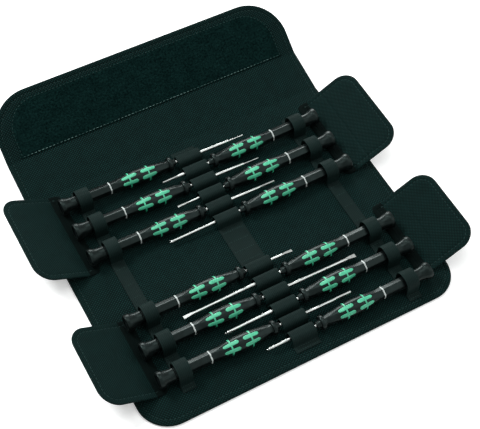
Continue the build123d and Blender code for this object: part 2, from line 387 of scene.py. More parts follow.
def cloth_material(look, name, thread_mm):
    """Black polyester oxford, woven in a fine basket of plump yarns, coated behind: a dull dark cloth
    with diagonal rows of small lit yarn crowns. The yarns are drawn coarser than the real 0.5 mm so
    that they show."""
    tree, surface = new_material(
        name,
        Roughness=0.85,
        Specular_IOR_Level=0.06,
        Sheen_Weight=0.03,
        Sheen_Roughness=0.5,
        Sheen_Tint=linear(look.cloth_light),
    )
    cloth = uv(tree)
    crowns = math(
        tree,
        "MULTIPLY",
        bands(tree, cloth, thread_mm, radians(52), 0.4),
        bands(tree, cloth, thread_mm, radians(-38), 0.4),
    )
    worn = speckle(tree, cloth, 9, 3)
    shade = math(tree, "MULTIPLY", crowns, math(tree, "ADD", worn, 0.45))
    tint(tree, surface, shade, look.cloth_dark, look.cloth_light, 0.05, 0.85)
    bump(tree, surface, crowns, 0.3)


def thread_material(look):
    """Bonded nylon sewing thread, dyed to the cloth and twisted: a small tight gloss on each stitch."""
    tree, surface = new_material("sewing_thread", Roughness=0.6, Specular_IOR_Level=0.15)
    twist = bands(tree, own(tree), 0.5, radians(35))
    tint(tree, surface, twist, look.thread_dark, look.thread)
    bump(tree, surface, twist, 0.05)


def pile_material(look):
    """Brushed nylon loop pile: napped loops that swallow light, with lint that catches it."""
    tree, surface = new_material(
        "brushed_loop_pile",
        Roughness=1.0,
        Specular_IOR_Level=0.02,
        Sheen_Weight=0.04,
        Sheen_Roughness=0.6,
        Sheen_Tint=linear(look.cloth_light),
    )
    cloth = uv(tree)
    tufts = speckle(tree, cloth, 1.7, 3, 0.75)
    clumps = speckle(tree, cloth, 11, 3, 0.6)
    mixed = math(tree, "MULTIPLY", tufts, math(tree, "ADD", math(tree, "MULTIPLY", clumps, 0.5), 0.65))
    tint(tree, surface, mixed, look.pile_dark, look.pile_light, 0.3, 0.62)
    bump(tree, surface, tufts, 0.5)


def hook_material(look):
    """Moulded nylon hooks on a woven tape: fine even rows of stiff glossy points."""
    tree, surface = new_material("moulded_nylon_hooks", Roughness=0.6, Specular_IOR_Level=0.06)
    cloth = uv(tree)
    rows = math(tree, "MULTIPLY", bands(tree, cloth, 1.6), bands(tree, cloth, 1.6, radians(90)))
    tint(tree, surface, rows, look.pile_dark, look.cloth_light)
    bump(tree, surface, rows, 0.4)


def elastic_material(look):
    """Knitted elastic tape: rubber cores show as close ribs along its length, crossed by fine weft,
    with a soft dull sheen."""
    tree, surface = new_material(
        "knitted_elastic",
        Roughness=0.7,
        Specular_IOR_Level=0.08,
        Sheen_Weight=0.04,
        Sheen_Roughness=0.4,
        Sheen_Tint=linear(look.elastic_light),
    )
    cloth = uv(tree)
    ribs = bands(tree, cloth, 1.3)
    weft = bands(tree, cloth, 0.8, radians(90))
    knit = math(tree, "ADD", math(tree, "MULTIPLY", ribs, 0.7), math(tree, "MULTIPLY", weft, 0.3))
    faded = math(tree, "MULTIPLY", knit, math(tree, "ADD", speckle(tree, cloth, 12), 0.5))
    tint(tree, surface, faded, look.elastic_dark, look.elastic_light)
    bump(tree, surface, knit, 0.12)


def black_handle_material(look):
    """Glass-filled polyamide, injection moulded with a fine spark texture: satin black that shows long
    soft highlights, with faint rub marks where fingers turn it."""
    tree, surface = new_material(
        "moulded_polyamide_black", IOR=1.52, Specular_IOR_Level=0.2, Specular_Tint=linear(look.moulding_sheen)
    )
    place = own(tree)
    grain = speckle(tree, place, 0.35, 2)
    rubbed = speckle(tree, place, 7, 3)
    tint(tree, surface, rubbed, look.handle_black, look.handle_worn, 0.45, 0.8)
    polish(tree, surface, rubbed, 0.36, 0.25)
    bump(tree, surface, grain, 0.02)


def green_grip_material(look):
    """Thermoplastic elastomer, the soft second shot of the grip: matt, slightly waxy, with clean edges."""
    tree, surface = new_material(
        "soft_elastomer_green", IOR=1.5, Roughness=0.42, Coat_Weight=0.15, Coat_Roughness=0.3
    )
    place = own(tree)
    cloudy = speckle(tree, place, 5, 2)
    tint(tree, surface, cloudy, look.grip_dark, look.grip_light, 0.3, 0.7)
    bump(tree, surface, speckle(tree, place, 0.4), 0.02)


def cap_material(look):
    """Polished acetal cap, turned smooth for the fingertip: black with a clearer gloss than the handle."""
    tree, surface = new_material(
        "acetal_cap_black", IOR=1.48, Specular_IOR_Level=0.2, Specular_Tint=linear(look.moulding_sheen)
    )
    place = own(tree)
    rubbed = speckle(tree, place, 4, 3)
    tint(tree, surface, rubbed, look.handle_black, look.handle_worn, 0.4, 0.85)
    polish(tree, surface, rubbed, 0.22, 0.38)
    bump(tree, surface, speckle(tree, place, 0.5), 0.015)


def mark_material(look):
    """Pad-printed pale ink: flat, thin and slightly worn."""
    tree, surface = new_material("printed_pale_ink", Roughness=0.55)
    worn = speckle(tree, own(tree), 1.2, 3)
    tint(tree, surface, worn, look.mark_worn, look.mark, 0.3, 0.5)


def steel_material(look):
    """Chrome-vanadium tool steel, ground along its length and nickel plated: bright, with fine
    lengthwise grinding lines."""
    tree, surface = new_material("ground_nickel_plated_steel", Metallic=1.0)
    place = own(tree)
    stretched = add(tree, "Mapping", {"Vector": place, "Scale": (0.05, 1, 1)})
    lines = speckle(tree, stretched.outputs[0], 0.25, 3)
    tint(tree, surface, lines, look.steel_dark, look.steel, 0.3, 0.6)
    polish(tree, surface, lines, 0.2, 0.36)
    bump(tree, surface, lines, 0.01)


# ---- the pouch's covers ----

BODY_CORNER_R = 24.0
CLOSURE_CORNER_R = 34.0
BODY = (BOARD_W, FREE_Y, TOP_Y, BODY_CORNER_R, CLOSURE_CORNER_R)
# distance inside the outline, and how far the skin stands out there: rolled edge, seam, panel
BODY_SKIN = [(0, -0.95), (0.3, -0.4), (0.9, 0.0), (3.7, 0.02)]
BODY_SKIN += [(4.2, -0.38), (4.7, -0.38), (5.2, 0.0), (9, 0.06)]
SEAM_AT = 4.45
FOLDS = (-FOLD_Y, FOLD_Y, TOP_FOLD_Y, CLOSURE_FOLD_Y)
HOOK = (-110.0, 110.0, -100.0, -62.0)
HOOK_DEPTH = 0.8
SEAMS = (0.0, 100.0, 125.1)  # where the cover's pieces meet, each on one body


def turned_up(point, flat_y, fold_y, angle):
    share = smooth((flat_y - fold_y + FOLD_ZONE) / (2 * FOLD_ZONE))
    axis = Vector((0, fold_y, FOLD_Z))
    return Matrix.Rotation(angle * share, 3, "X") @ (point - axis) + axis


def opened_out(point):
    """A point of the flat layout, where it is in the opened pouch."""
    flat_y = point.y
    if flat_y > CLOSURE_FOLD_Y - FOLD_ZONE:
        point = turned_up(point, flat_y, CLOSURE_FOLD_Y, CLOSURE_RAISE)
    if flat_y > TOP_FOLD_Y - FOLD_ZONE:
        point = turned_up(point, flat_y, TOP_FOLD_Y, TOP_RAISE)
    return point


def in_pocket(x, y):
    return HOOK[0] - 0.4 < x < HOOK[1] + 0.4 and HOOK[2] - 0.4 < y < HOOK[3] + 0.4


def crease(y):
    """Shallow groove along each fold."""
    near = min(abs(y - fold) for fold in FOLDS)
    return -0.06 * (1 - smooth(near / 2.2))


def cover_sheet():
    """The whole cover, flat: two skins with a rolled edge, a sewn groove and slight waves."""
    bm = bmesh.new()
    face = rounded_sheet(bm, *BODY)
    inset_rings(bm, face, [place for place, _ in BODY_SKIN[1:]])
    score(bm, 0, steps(-BOARD_W / 2, BOARD_W / 2, 6.5))
    near = [fold + step * 0.75 for fold in FOLDS for step in range(-5, 6)]
    score(bm, 1, [y for y in steps(FREE_Y, TOP_Y, 6.1) if min(abs(y - n) for n in near) > 1] + near)
    score(bm, 0, (HOOK[0] - 0.6, HOOK[0] - 0.3, HOOK[1] + 0.3, HOOK[1] + 0.6))
    score(bm, 1, (HOOK[2] - 0.6, HOOK[2] - 0.3, HOOK[3] + 0.3, HOOK[3] + 0.6))
    write_uv(bm)

    def wave(v, seed):
        held = smooth(inside(v.co.x, v.co.y, *BODY) / 30)
        return 0.16 * held * noise.noise(Vector((v.co.x / 34, v.co.y / 27, seed)))

    def top(v):
        rise = level(BODY_SKIN, inside(v.co.x, v.co.y, *BODY))
        return at(v, BOARD_T - 0.08 + rise + crease(v.co.y) + wave(v, 1))

    def bottom(v):
        rise = level(BODY_SKIN, inside(v.co.x, v.co.y, *BODY))
        return at(v, HOOK_DEPTH + 0.02 if in_pocket(v.co.x, v.co.y) else 0.1 - rise - crease(v.co.y))

    thicken(bm, bottom, top)
    return bm


def cover_stitches(bm, low, high, sizes):
    """Two lines of stitches, above and below, along the part of the border between low and high."""
    line = border_line(*BODY, SEAM_AT)
    thread = bmesh.new()
    for place, heading in walk(line, sizes.stitch_pitch):
        if low < place.y < high:
            for z in (BOARD_T - 0.36, 0.4):
                spot = Vector((place.x, place.y, z))
                bead(thread, spot, heading, sizes)
    join(bm, thread)


def cover_piece(name, base, low, high, sizes):
    bm = base.copy()
    for y, sign in ((low, -1), (high, 1)):
        if FREE_Y < y < TOP_Y:
            trim(bm, y, sign)
    bmesh.ops.recalc_face_normals(bm, faces=bm.faces[:])
    cover_stitches(bm, low, high, sizes)
    for v in bm.verts:
        v.co = opened_out(v.co)
    return to_object(bm, name, ["woven_oxford_cover", "sewing_thread"])


class DRIVER_POUCH_OT_covers(bpy.types.Operator):
    """Makes the pouch's sewn cover as four pieces, bent up across the top and closure folds"""

    bl_idname = "driver_pouch.covers"
    bl_label = "Pouch covers"

    def execute(self, context):
        sizes = context.scene.driver_pouch_sizes
        base = cover_sheet()
        closure_y = TOP_FOLD_Y + (CLOSURE_FOLD_Y - TOP_FOLD_Y) * cos(TOP_RAISE)
        closure_z = FOLD_Z + (CLOSURE_FOLD_Y - TOP_FOLD_Y) * sin(TOP_RAISE)
        across = TOP_RAISE + CLOSURE_RAISE / 2
        lean = Vector((0, cos(across), sin(across))) * FOLD_ZONE
        flat = Vector((0, FOLD_ZONE, 0))
        folds = (
            ("cover_lower", FREE_Y, SEAMS[0], "spine", "lower_half", -flat, (0, -FOLD_Y, FOLD_Z)),
            ("cover_upper", SEAMS[0], SEAMS[1], "upper_half", "spine", -flat, (0, FOLD_Y, FOLD_Z)),
            ("cover_top", SEAMS[1], SEAMS[2], "upper_half", "top_spine", flat, (0, TOP_FOLD_Y, FOLD_Z)),
            ("cover_closure", SEAMS[2], TOP_Y, "top_spine", "closure_flap", lean, (0, closure_y, closure_z)),
        )
        nodes = {
            "cover_lower": ("lower_panel",),
            "cover_upper": ("upper_panel", "middle_spine"),
            "cover_top": ("top_spine",),
            "cover_closure": ("closure_flap",),
        }
        for name, low, high, first, second, along, fold in folds:
            piece = cover_piece(name, base, low, high, sizes)
            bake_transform(piece)
            stand_for(piece, "woven_board", *nodes[name])
        base.free()
        return {"FINISHED"}


# ---- loop and hook strips ----

LOOP = (232.0, 143.95, 186.95, 0.0, 26.0)
LOOP_RINGS = (0.35, 1.2, 2.0)  # from its edge: rim, seam, start of the pile
LOOP_SEAM = 0.9
LOOP_CELL = 4.0  # cut into cells, each then divided again
TUFT, CLUMP = 0.9, 5  # sizes of the pile's unevenness
HOOK_EDGE = 1.5


def loop_strip(sizes):
    """The napped strip inside the closure flap, sewn round, paler along the fold."""
    bm = bmesh.new()
    face = rounded_sheet(bm, *LOOP)
    inset_rings(bm, face, LOOP_RINGS, even=False)
    score(bm, 0, steps(-LOOP[0] / 2, LOOP[0] / 2, LOOP_CELL))
    score(bm, 1, steps(LOOP[1], LOOP[2], LOOP_CELL))
    inner = [e for e in bm.edges if all(inside(*v.co.xy, *LOOP) > LOOP_RINGS[-1] - 0.1 for v in e.verts)]
    bmesh.ops.subdivide_edges(bm, edges=inner, cuts=3, use_grid_fill=True)
    write_uv(bm)

    def nap(v):
        deep = inside(v.co.x, v.co.y, *LOOP)
        tuft = noise.noise(Vector((v.co.x / TUFT, v.co.y / TUFT, 3)))
        clump = noise.noise(Vector((v.co.x / CLUMP, v.co.y / CLUMP, 8)))
        pile = 0.3 + 0.34 * tuft + 0.18 * clump
        edge = level([(0, 0.25), (0.35, 0.5), (1.2, 0.45)], deep)
        return at(v, BOARD_T + edge + smooth(deep - LOOP_RINGS[1]) * (pile - 0.05))

    thicken(bm, lambda v: at(v, BOARD_T), nap)
    thread = bmesh.new()
    for place, heading in walk(border_line(*LOOP, LOOP_SEAM), sizes.stitch_pitch):
        spot = Vector((place.x, place.y, BOARD_T + 0.56))
        bead(thread, spot, heading, sizes, material=1 if place.y < LOOP[1] + 1.5 else 2)
    join(bm, thread)
    for v in bm.verts:
        v.co = opened_out(Vector((v.co.x, max(v.co.y, CLOSURE_FOLD_Y), v.co.z)))
    strip = to_object(bm, "loop_pile_strip", ["brushed_loop_pile", "pale_seam_thread", "sewing_thread"])
    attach(strip, "closure_flap")
    stand_for(strip, "loop_pile", "loop_strip")


def hook_strip():
    """The stiff tape under the lower half, with a thin edge."""
    bm = bmesh.new()
    face = rounded_sheet(bm, HOOK[1] - HOOK[0], HOOK[2], HOOK[3], HOOK_EDGE, HOOK_EDGE)
    inset_rings(bm, face, (HOOK_EDGE,), even=False)
    score(bm, 0, steps(HOOK[0], HOOK[1], 8))
    write_uv(bm)
    thicken(bm, lambda v: at(v, 0.3 if v.is_boundary else 0.05), lambda v: at(v, HOOK_DEPTH))
    hooks = to_object(bm, "hook_tape", ["moulded_nylon_hooks"], smooth_faces=False)
    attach(hooks, "lower_half")
    stand_for(hooks, "hook_pile", "hook_strip")


class DRIVER_POUCH_OT_closure(bpy.types.Operator):
    """Makes the napped loop strip inside the closure flap and the hook strip under the lower half"""

    bl_idname = "driver_pouch.closure"
    bl_label = "Loop and hook strips"

    def execute(self, context):
        loop_strip(context.scene.driver_pouch_sizes)
        hook_strip()
        return {"FINISHED"}


# ---- side flaps ----

MARGIN = 9.0  # sewn to the board, inward of the hinge
FLAP_CORNER_R = 14.0
FLAP_SKIN = [(0, -0.45), (0.25, -0.15), (0.7, 0.0), (3.2, 0.02)]
FLAP_SKIN += [(3.7, -0.24), (4.2, -0.24), (4.7, 0.0), (7, 0.04)]
FLAP_SEAM = 3.95
FLAP_SPLIT = 8.0  # where its two pieces meet, on the wall
HINGE_ZONE = 2.2
HINGE_SHADE_EDGE = 0.4  # painted shade: a dark band stands in for the shade at the hinge and covers the flap up to here


def flap_outline(width):
    return width, -MARGIN, SIDE_L, 5.0, FLAP_CORNER_R


def flap_sheet(width):
    """One flap, flat: Y runs outward from the hinge here, and X along it."""
    outline = flap_outline(width)
    bm = bmesh.new()
    face = rounded_sheet(bm, *outline)
    inset_rings(bm, face, [place for place, _ in FLAP_SKIN[1:]])
    score(bm, 0, steps(-width / 2, width / 2, 4.1))
    near = [step * 0.55 for step in range(-5, 5)] + [WALL_L + step * 0.5 for step in range(-5, 6)]
    score(bm, 1, [y for y in steps(-MARGIN, SIDE_L, 4.3) if min(abs(y - n) for n in near) > 0.6] + near)
    write_uv(bm)

    def skin(v, sign):
        deep = inside(v.co.x, v.co.y, *outline)
        rise = level(FLAP_SKIN, deep)
        on_board = 1 - smooth((v.co.y + 3.2) / 2.2)
        half = SIDE_T / 2 - 0.25 * on_board
        groove = 0.2 * (1 - smooth(abs(v.co.y - WALL_L) / 1.5))
        held = smooth(deep / 14)
        wave = 0.22 * held * noise.noise(Vector((v.co.x / 21, v.co.y / 17, 5)))
        z = sign * (half + rise - groove) + wave * (1 - on_board) - 0.45 * on_board
        return at(v, z)

    thicken(bm, lambda v: skin(v, -1), lambda v: skin(v, 1))
    # Painted shade: faces from the hinge inward take the dark band that stands in for the shade between the
    # caps and the flap.
    for face in bm.faces:
        if face.calc_center_median().y < HINGE_SHADE_EDGE:
            face.material_index = 2
    return bm


def flap_piece(name, base, width, low, high, side, y, sizes):
    bm = base.copy()
    for place, sign in ((low, -1), (high, 1)):
        if -MARGIN < place < SIDE_L:
            trim(bm, place, sign)
    for place, heading in walk(border_line(*flap_outline(width), FLAP_SEAM), sizes.stitch_pitch):
        if max(low, -3.0) < place.y < high:
            for z in (SIDE_T / 2 - 0.2, -SIDE_T / 2 + 0.2):
                spot = Vector((place.x, place.y, z))
                bead(bm, spot, heading, sizes, height=0.9)
    if low < 0:
        row = [Vector((x, -2.9, -0.16)) for x in (4 - width / 2, width / 2 - 4)]
        for place, heading in walk(row, sizes.stitch_pitch, closed=False):
            bead(bm, place, heading, sizes, height=0.8)
    for v in bm.verts:
        across, out, z = v.co
        share = smooth((out + HINGE_ZONE) / (2 * HINGE_ZONE)) * SIDE_RAISE
        u = out * cos(share) - z * sin(share)
        h = out * sin(share) + z * cos(share)
        v.co = (side * (SIDE_X + u), y + across, SIDE_Z + h)
    bmesh.ops.recalc_face_normals(bm, faces=bm.faces[:])
    # The third material is the painted shade band at the hinge.
    return to_object(bm, name, ["woven_oxford_flap", "sewing_thread", "painted_hinge_shade"])


class DRIVER_POUCH_OT_flaps(bpy.types.Operator):
    """Makes the four side flaps, each bent up at its sewn hinge, with a groove at its crease"""

    bl_idname = "driver_pouch.flaps"
    bl_label = "Side flaps"

    def execute(self, context):
        sizes = context.scene.driver_pouch_sizes
        for corner, (y, width) in SIDE_FLAPS.items():
            base = flap_sheet(width)
            side = LEFT if corner.endswith("left") else RIGHT
            wall, tuck = "side_wall_" + corner, "side_tuck_" + corner
            piece = flap_piece("flap_wall_" + corner, base, width, -MARGIN, FLAP_SPLIT, side, y, sizes)
            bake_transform(piece)
            stand_for(piece, "woven_flap", wall)

            piece = flap_piece("flap_tuck_" + corner, base, width, FLAP_SPLIT, SIDE_L, side, y, sizes)
            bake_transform(piece)
            stand_for(piece, "woven_flap", tuck)
            base.free()
        return {"FINISHED"}


# ---- straps ----

BULGE_R = 6.2
BLADE_R = 1.3
LOOP_CLEAR = 0.5
LEG_LEAN = 0.3
BLADE_LOOP_HALF = 5.05
BLADE_LOOP_CROWN = 0.75
STRAP_TAIL = 5.0
STRAP_FOOT = BOARD_T + STRAP_T / 2
# distance in from a selvedge, and the share of the full thickness there
STRAP_EDGE = [(0, 0.55), (0.25, 0.85), (0.7, 1.0), (1.1, 0.88), (1.5, 1.0)]


def row_y(row):
    if row < ROWS_PER_HALF:
        return FIRST_ROW + (ROWS_PER_HALF - 1 - row) * ROW_PITCH
    return -FIRST_ROW - (row - ROWS_PER_HALF) * ROW_PITCH


def row_side(row):
    return LEFT if row % 2 == 0 else RIGHT


def axis_z(distance):
    return NOSE_Z + distance * tan(TILT)


def handle_loop(y, distance):
    half = BULGE_R + LOOP_CLEAR + STRAP_T / 2
    foot = half + LEG_LEAN
    top = axis_z(distance) + half
    points = [(y + foot, STRAP_FOOT), (y + half, top), (y - half, top), (y - foot, STRAP_FOOT)]
    return points, [STRAP_T, half * 0.9, half * 0.9, STRAP_T]


def blade_loop(y, distance):
    top = axis_z(distance) + BLADE_R + LOOP_CLEAR + STRAP_T / 2
    crown = BLADE_LOOP_HALF * BLADE_LOOP_CROWN
    half = BLADE_LOOP_HALF + STRAP_T / 2
    points = [(y + half, STRAP_FOOT), (y + crown, top), (y - crown, top), (y - half, STRAP_FOOT)]
    return points, [STRAP_T, crown * 0.8, crown * 0.8, STRAP_T]


def strap_route(rows, loop, distance, half):
    """Corner points of a strap's middle line, and its bend radii, from its tail to the fold."""
    ys = sorted((row_y(row) for row in rows), key=abs, reverse=True)
    sign = 1 if ys[0] > 0 else -1
    points = [(ys[0] + sign * (half + STRAP_TAIL), STRAP_FOOT)]
    radii = []
    for y in ys:
        corners, bends = loop(y, distance)
        points += corners if sign > 0 else corners[::-1]
        radii += bends
    points.append((0, STRAP_FOOT))
    return [Vector((0, y, z)) for y, z in points], radii


def strap_surface(points, radii, x, width):
    """The middle surface of a strap: a row of edges across it, drawn along its runs and bends."""
    bm = bmesh.new()
    length_layer = bm.verts.layers.float.new("along")
    insets = [place for place, _ in STRAP_EDGE]
    inner = steps(-width / 2 + insets[-1], width / 2 - insets[-1], 1.6)
    across = [-width / 2 + i for i in insets] + inner + [width / 2 - i for i in reversed(insets)]
    row = [bm.verts.new((x + a, points[0].y, points[0].z)) for a in across]
    edges = [bm.edges.new(pair) for pair in zip(row, row[1:])]
    done, spot = 0.0, points[0].copy()

    def run(end):
        nonlocal edges, done, spot
        span = (end - spot).length
        if span < 1e-6:
            return
        count = max(1, ceil(span / 1.0))
        for _ in range(count):
            verts, edges = new_row(bmesh.ops.extrude_edge_only(bm, edges=edges)["geom"])
            bmesh.ops.translate(bm, vec=(end - spot) / count, verts=verts)
            done += span / count
            for v in verts:
                v[length_layer] = done
        spot = end.copy()

    for i, radius in enumerate(radii, start=1):
        before = (points[i] - points[i - 1]).normalized()
        after = (points[i + 1] - points[i]).normalized()
        angle = atan2(before.y * after.z - before.z * after.y, before.dot(after))
        if abs(angle) < 1e-4:
            run(points[i])
            continue
        reach = radius * tan(abs(angle) / 2)
        run(points[i] - before * reach)
        normal = Vector((0, -before.z, before.y)) * (1 if angle > 0 else -1)
        centre = spot + normal * radius
        count = max(3, ceil(abs(angle) * radius / 0.8))
        for _ in range(count):
            verts = list({v for e in edges for v in e.verts})
            made = bmesh.ops.spin(
                bm, geom=verts + edges, cent=centre, axis=(1, 0, 0), angle=angle / count, steps=1
            )["geom_last"]
            verts, edges = new_row(made)
            done += abs(angle) * radius / count
            for v in verts:
                v[length_layer] = done
        spot = points[i] + after * reach
    run(points[-1])
    bmesh.ops.recalc_face_normals(bm, faces=bm.faces[:])
    write_uv(bm, lambda v: (v.co.x, v[length_layer]))
    return bm


def strap_mesh(bm, x, width):
    """Thickness for a strap's middle surface, thinner at its selvedges."""
    bm.normal_update()
    top = max(bm.faces, key=lambda f: f.calc_center_median().z)
    if top.normal.z < 0:
        bmesh.ops.reverse_faces(bm, faces=bm.faces[:])
        bm.normal_update()
    normals = {v: v.normal.copy() for v in bm.verts}

    def skin(v, sign):
        share = level(STRAP_EDGE, width / 2 - abs(v.co.x - x))
        return v.co + normals[v] * sign * share * (STRAP_T / 2 - 0.03)

    thicken(bm, lambda v: skin(v, -1), lambda v: skin(v, 1))


def bar_tack(bm, x, width, y, z, sizes):
    """A short dense row of stitches across a strap."""
    row = [Vector((x - width / 2 + 0.9, y, z)), Vector((x + width / 2 - 0.9, y, z))]
    for place, heading in walk(row, sizes.stitch_pitch * 0.62, closed=False):
        bead(bm, place, heading, sizes, height=0.7, length=0.55)


class DRIVER_POUCH_OT_straps(bpy.types.Operator):
    """Makes the elastic straps, with a loop over each handle and blade, and their stitches"""

    bl_idname = "driver_pouch.straps"
    bl_label = "Elastic straps"

    def execute(self, context):
        sizes = context.scene.driver_pouch_sizes
        wide = BULGE_R + LOOP_CLEAR + STRAP_T + LEG_LEAN
        handle = (HANDLE_STRAP_W, handle_loop, HANDLE_STRAP_X - NOSE_X, wide)
        blade = (BLADE_STRAP_W, blade_loop, -NOSE_X, BLADE_LOOP_HALF + STRAP_T)
        for half, first in (("upper", 0), ("lower", ROWS_PER_HALF)):
            rows = range(first, first + ROWS_PER_HALF)
            for word, side, kind in (("left", LEFT, handle), ("right", RIGHT, handle), ("centre", 0, blade)):
                width, loop, distance, reach = kind
                held = [r for r in rows if side in (0, row_side(r))]
                points, radii = strap_route(held, loop, distance, reach)
                self.strap(f"{half}_{word}", points, radii, side * HANDLE_STRAP_X, width, sizes)
        return {"FINISHED"}

    def strap(self, place, points, radii, x, width, sizes):
        bm = strap_surface(points, radii, x, width)
        strap_mesh(bm, x, width)
        feet = [p.y for p in points if abs(p.z - STRAP_FOOT) < 1e-6]
        for a, b in zip(feet[::2], feet[1::2]):
            if abs(a - b) > 2.5:
                for y in (a + (b - a) * 0.25, a + (b - a) * 0.75):
                    bar_tack(bm, x, width, y, STRAP_FOOT + STRAP_T / 2 - 0.05, sizes)
        piece = to_object(bm, "elastic_" + place, ["knitted_elastic", "sewing_thread"])
        sharpen(piece, radians(60))
        sign = 1 if points[0].y > 0 else -1
        if sign > 0:
            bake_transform(piece)
        else:
            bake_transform(piece)
        spine = ["strap_spine"] if place == "upper_centre" else []
        stand_for(piece, "elastic", "strap_" + place, *spine)


# ---- drivers ----

ROUND_STEPS = 48
# place from the nose, radius, and share of hexagon in the section
HANDLE_PROFILE = [
    (0.0, 1.35, 0), (0.0, 2.1, 0), (0.25, 2.35, 0), (3.1, 2.95, 0), (3.4, 3.1, 0),
    (3.4, 4.6, 0), (3.55, 5.3, 0.0), (3.95, 5.55, 0.0), (4.6, 5.6, 0.0), (5.4, 5.6, 0.0),
    (6.05, 5.55, 0.0), (6.45, 5.3, 0.0), (6.6, 4.6, 0.1), (6.65, 3.7, 0.2), (7.4, 3.5, 0.6),
    (8.8, 3.55, 1), (10.4, 3.85, 1), (12.0, 4.15, 0.9), (13.0, 4.3, 0.6), (15.0, 4.65, 0.3),
    (18.0, 5.15, 0.1), (21.0, 5.6, 0), (24.0, 5.95, 0), (28.0, 6.18, 0), (32.0, 6.2, 0),
    (36.0, 6.1, 0), (40.0, 5.75, 0), (44.0, 5.25, 0), (47.0, 4.8, 0.2), (50.0, 4.35, 0.7),
    (52.0, 4.17, 1), (55.0, 4.15, 1), (65.0, 4.15, 1), (75.0, 4.15, 1), (81.6, 4.15, 1),
    (82.1, 4.3, 0.7), (82.2, 4.6, 0.1), (82.5, 4.7, 0), (83.9, 4.7, 0), (84.2, 4.5, 0),
    (84.2, 2.0, 0),
]
ZONES = (24.2, 40.2)  # middles of the two green zones
BAR_L = 12.6
BAR_HALF = radians(14)
BARS = [radians(a) for a in (34, 86, 214, 266)]  # two on each face of the grip
PROUD = 0.16


def section_radius(radius, hexagon, angle):
    """Radius of a section that goes from round to a soft-edged hexagon of the same flats."""
    from_flat = (angle + pi / 6) % (pi / 3) - pi / 6
    corner = min(1 / cos(from_flat), 1.115)
    return radius * (1 + hexagon * (corner - 1))


def handle_radius(place, angle):
    table = HANDLE_PROFILE
    for (a, ra, ha), (b, rb, hb) in zip(table, table[1:]):
        if a <= place <= b and b > a:
            t = (place - a) / (b - a)
            return section_radius(ra + (rb - ra) * t, ha + (hb - ha) * t, angle)
    return table[-1][1]


def driver_place(row):
    """Places a driver, modelled from its nose along +X, on its row."""
    side = row_side(row)
    along = Vector((side * cos(TILT), 0, sin(TILT)))
    up = Vector((-side * sin(TILT), 0, cos(TILT)))
    sideways = up.cross(along)
    turn = Matrix((along, sideways, up)).transposed().to_4x4()
    return Matrix.Translation((side * NOSE_X, row_y(row), NOSE_Z)) @ turn


def drawn_profile(profile):
    """A closed turned shape: a ring of edges drawn out from place to place along X."""
    bm = bmesh.new()
    ring = bmesh.ops.create_circle(bm, cap_ends=False, segments=ROUND_STEPS, radius=1.0)["verts"]
    bmesh.ops.rotate(bm, cent=(0, 0, 0), matrix=Matrix.Rotation(pi / 2, 3, "Y"), verts=ring)

    def shape(verts, place, radius, hexagon):
        for v in verts:
            angle = atan2(v.co.z, v.co.y)
            r = section_radius(radius, hexagon, angle)
            v.co = (place, r * cos(angle), r * sin(angle))

    shape(ring, *profile[0])
    edges = bm.edges[:]
    bmesh.ops.holes_fill(bm, edges=edges, sides=0)
    for entry in profile[1:]:
        verts, edges = new_row(bmesh.ops.extrude_edge_only(bm, edges=edges)["geom"])
        shape(verts, *entry)
    bmesh.ops.holes_fill(bm, edges=edges, sides=0)
    bmesh.ops.recalc_face_normals(bm, faces=bm.faces[:])
    return bm


def grip_zones():
    """The green inlays: four bars round the grip in each group, joined by a thin ring."""
    bm = bmesh.new()
    for middle in ZONES:
        for centre in BARS:
            part = bmesh.new()
            bmesh.ops.create_grid(part, x_segments=16, y_segments=8, size=1.0)
            sunk, raised = {}, {}
            for v in part.verts:
                u, w = v.co.x, v.co.y
                taper = (1 - abs(u) ** 8) ** 0.5
                place = middle + u * BAR_L / 2
                angle = centre + w * BAR_HALF * taper
                edge = max(abs(u), abs(w))
                r = handle_radius(place, angle)
                lift = PROUD * (1 - smooth((edge - 0.7) / 0.3)) + 0.03
                raised[v.index] = Vector((place, (r + lift) * cos(angle), (r + lift) * sin(angle)))
                sunk[v.index] = Vector((place, (r - 0.5) * cos(angle), (r - 0.5) * sin(angle)))
            thicken(part, lambda v: sunk[v.index], lambda v: raised[v.index])
            join(bm, part)
        add_ring(bm, middle, 0.6, PROUD * 0.9, 0.5)
    return bm


def add_ring(bm, middle, half, lift, depth):
    """A thin band round the handle, proud by lift."""
    shoulder = 0.6  # of the half width and of the lift
    corners = [(-half, -depth), (-half, lift * shoulder), (-half * shoulder, lift)]
    corners += [(-along, rise) for along, rise in reversed(corners)]
    verts = []
    for along, rise in corners:
        r = handle_radius(middle + along, 0.0) + rise
        verts.append(bm.verts.new((middle + along, r, 0)))
    edges = [bm.edges.new((a, b)) for a, b in zip(verts, verts[1:] + verts[:1])]
    whole = {"angle": 2 * pi, "steps": ROUND_STEPS, "use_merge": True}
    bmesh.ops.spin(bm, geom=verts + edges, cent=(0, 0, 0), axis=(1, 0, 0), **whole)
    bmesh.ops.recalc_face_normals(bm, faces=bm.faces[:])


def placed_copy(base, row, name, material, sharp, turn=0.0):
    """A copy on a driver's row, with edges over the sharp angle kept crisp."""
    bm = base.copy()
    bmesh.ops.transform(bm, matrix=driver_place(row) @ Matrix.Rotation(turn, 4, "X"), verts=bm.verts)
    piece = to_object(bm, name, [material])
    sharpen(piece, sharp)
    return piece


def sharpen(piece, angle):
    """Marks edges sharper than an angle, so that flats and steps keep crisp shading."""
    bm = bmesh.new()
    bm.from_mesh(piece.data)
    for edge in bm.edges:
        if len(edge.link_faces) == 2 and edge.calc_face_angle(0) > angle:
            edge.smooth = False
    bm.to_mesh(piece.data)
    bm.free()


